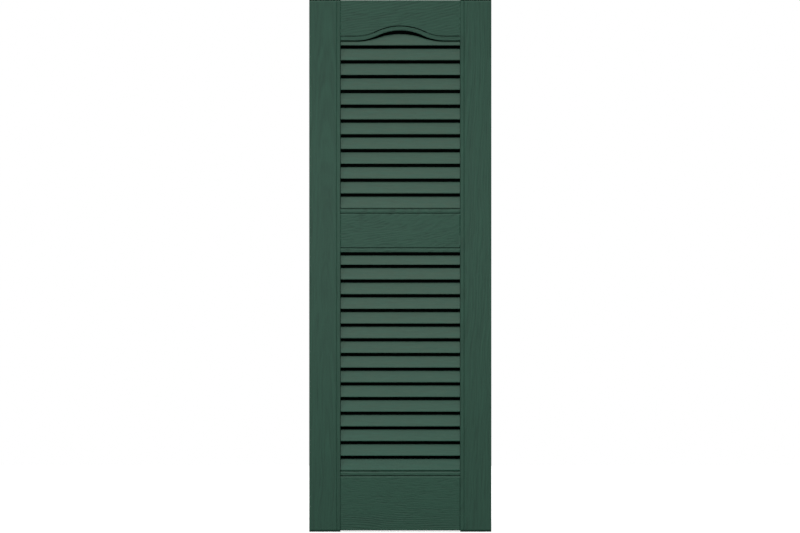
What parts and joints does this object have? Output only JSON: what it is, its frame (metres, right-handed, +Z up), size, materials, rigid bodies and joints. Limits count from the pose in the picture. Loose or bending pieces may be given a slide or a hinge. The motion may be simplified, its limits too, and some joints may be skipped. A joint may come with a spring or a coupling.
{
  "type": "fixed louvered window shutter",
  "caption": "Dark green moulded plastic window shutter with fixed louvers, an arched top rail, a middle rail and a hollow back.",
  "frame": {"origin": "middle of the landing rib's flat face at the back of the middle rail, on the wall plane", "axes": "+X to the right seen from the front, +Y from the front into the wall, +Z up"},
  "size_m": [0.3746, 0.028, 1.0943],
  "materials": {
    "frame_plastic": "satin with moulded wood grain, dark green",
    "louver_plastic": "satin with fine level grain, dark green",
    "rib_plastic": "plain moulded back, dark green"
  },
  "bodies": {
    "root": {"left_stile": "frame_plastic", "right_stile": "frame_plastic", "top_rail": "frame_plastic", "middle_rail": "frame_plastic", "bottom_rail": "frame_plastic", "upper_back_rib": "rib_plastic", "lower_back_rib": "rib_plastic", "upper_louver_01": "louver_plastic", "upper_louver_02": "louver_plastic", "upper_louver_03": "louver_plastic", "upper_louver_04": "louver_plastic", "upper_louver_05": "louver_plastic", "upper_louver_06": "louver_plastic", "upper_louver_07": "louver_plastic", "upper_louver_08": "louver_plastic", "upper_louver_09": "louver_plastic", "upper_louver_10": "louver_plastic", "upper_louver_11": "louver_plastic", "upper_louver_12": "louver_plastic", "lower_louver_01": "louver_plastic", "lower_louver_02": "louver_plastic", "lower_louver_03": "louver_plastic", "lower_louver_04": "louver_plastic", "lower_louver_05": "louver_plastic", "lower_louver_06": "louver_plastic", "lower_louver_07": "louver_plastic", "lower_louver_08": "louver_plastic", "lower_louver_09": "louver_plastic", "lower_louver_10": "louver_plastic", "lower_louver_11": "louver_plastic", "lower_louver_12": "louver_plastic", "lower_louver_13": "louver_plastic", "lower_louver_14": "louver_plastic", "lower_louver_15": "louver_plastic"}
  },
  "joints": []
}
